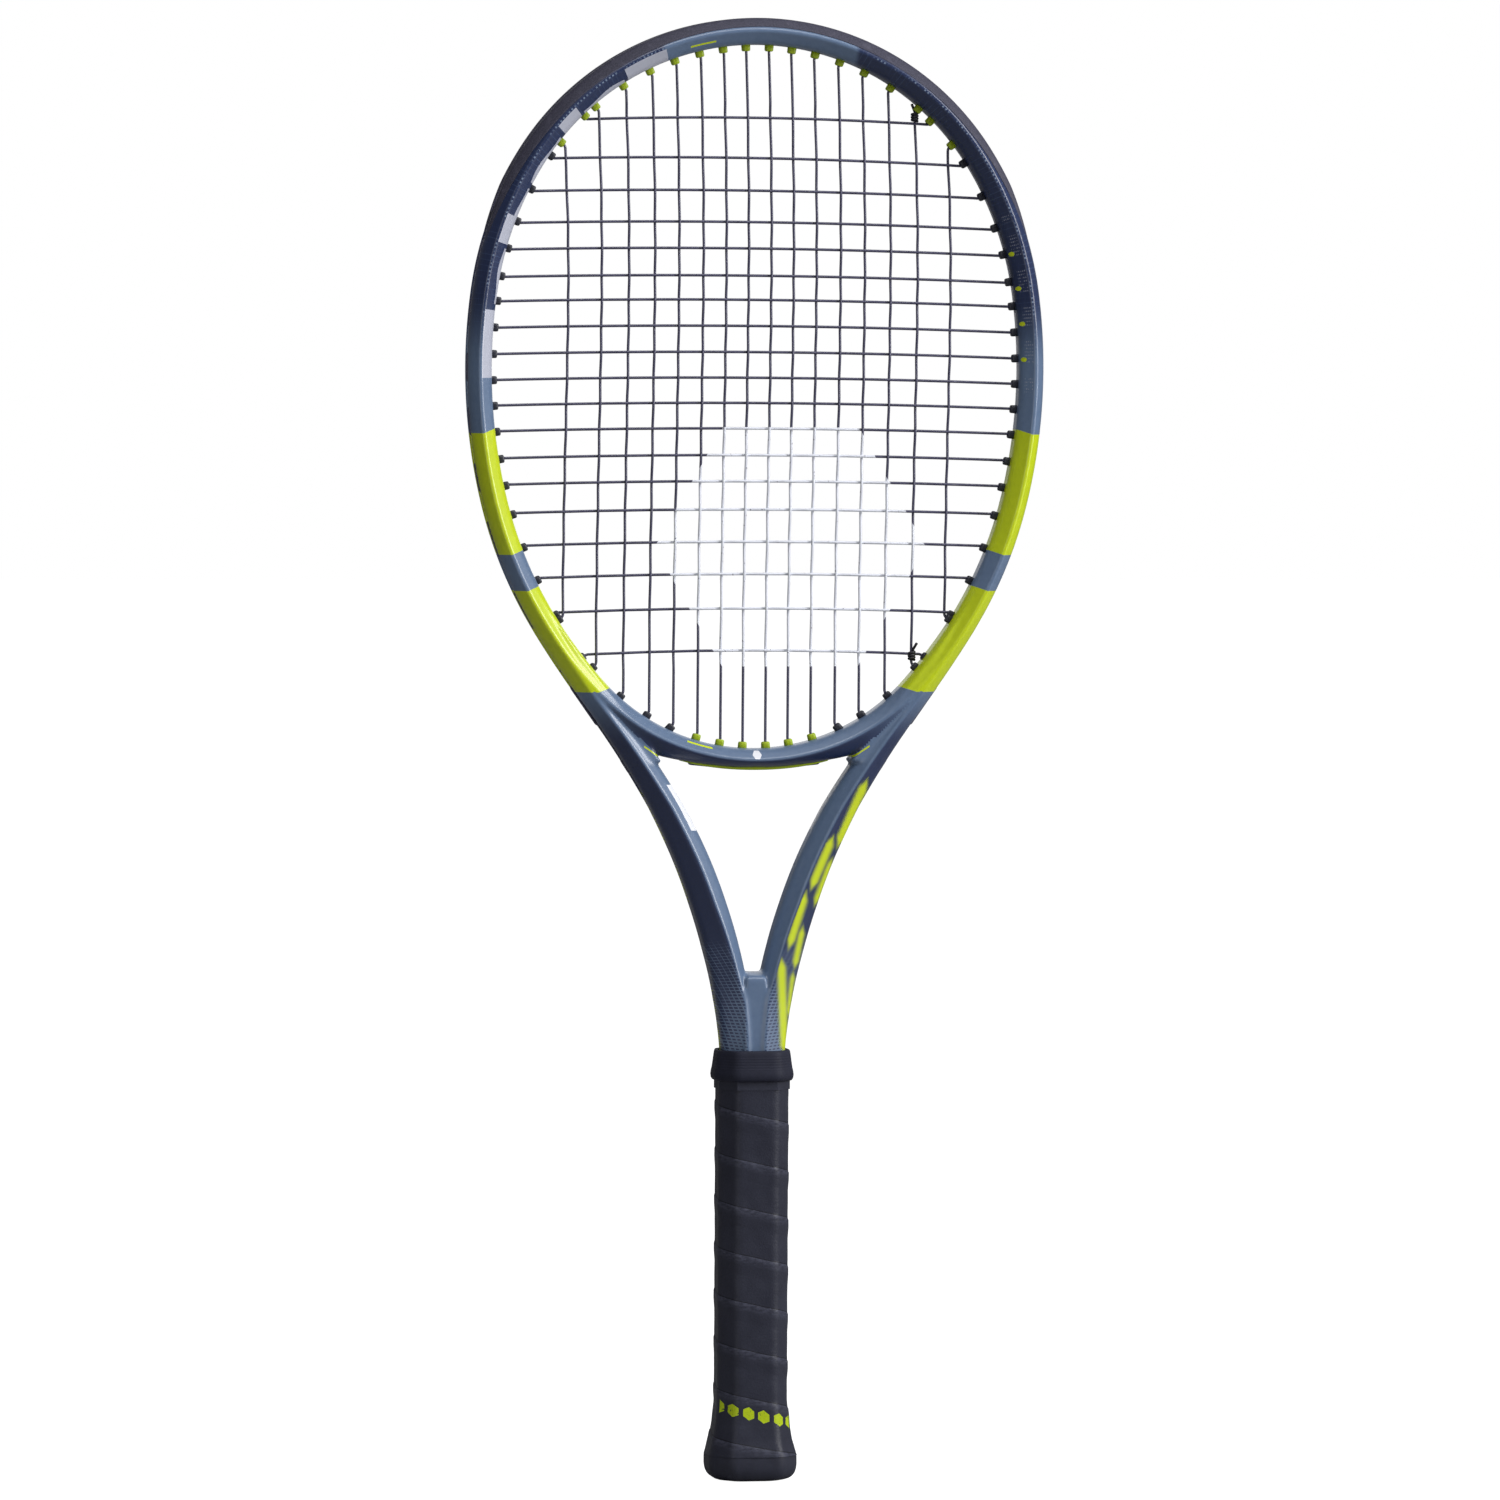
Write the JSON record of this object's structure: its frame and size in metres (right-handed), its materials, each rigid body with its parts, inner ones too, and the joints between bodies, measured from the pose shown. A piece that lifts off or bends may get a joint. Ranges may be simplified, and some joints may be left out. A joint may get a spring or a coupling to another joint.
{
  "type": "tennis racket",
  "caption": "Strung tennis racket with an oval hollow-tube head, open forked throat, moulded grommet strips and bumper, and an eight-sided wrapped handle with a flared butt cap.",
  "frame": {"origin": "centre of the butt cap's flat end face", "axes": "+Z along the handle to the head tip, X across the string bed, Y through the string bed, with the front face looking to -Y"},
  "size_m": [0.2738, 0.038, 0.685],
  "materials": {
    "frame_paint": "satin slate blue paint over carbon fibre laminate",
    "lime_nylon": "moulded lime green nylon",
    "dark_nylon": "moulded dark nylon",
    "bumper_nylon": "matte dark grey nylon",
    "string": "smooth dark polyester string",
    "foam": "moulded polyurethane foam",
    "cap_plastic": "satin moulded plastic",
    "steel": "bright staple wire",
    "wrap": "dark perforated synthetic grip wrap",
    "tape": "vinyl finishing tape",
    "collar_rubber": "matte moulded rubber"
  },
  "bodies": {
    "racket": {"frame_hairpin": "frame_paint", "throat_bridge": "frame_paint", "throat_web": "frame_paint", "bumper_guard": "bumper_nylon", "head_grommet_strip": "lime_nylon", "side_grommet_strip_left": "dark_nylon", "side_grommet_strip_right": "dark_nylon", "throat_grommet_strip": "lime_nylon", "main_string": "string", "cross_string": "string", "tie_off_knots": "string", "pallet_front": "foam", "pallet_back": "foam", "butt_cap": "cap_plastic", "butt_staples": "steel", "wrap_staple": "steel", "grip_wrap": "wrap", "finishing_tape": "tape"},
    "trap_door": {"trap_door": "cap_plastic"},
    "collar": {"rubber_collar": "collar_rubber"}
  },
  "joints": [
    {"name": "trap_door_pull", "type": "slide", "parent": "racket", "child": "trap_door", "axis": [0, 0, -1], "range_m": [0, 0.02]},
    {"name": "collar_slide", "type": "slide", "parent": "racket", "child": "collar", "axis": [0, 0, 1], "range_m": [0, 0.008]}
  ]
}
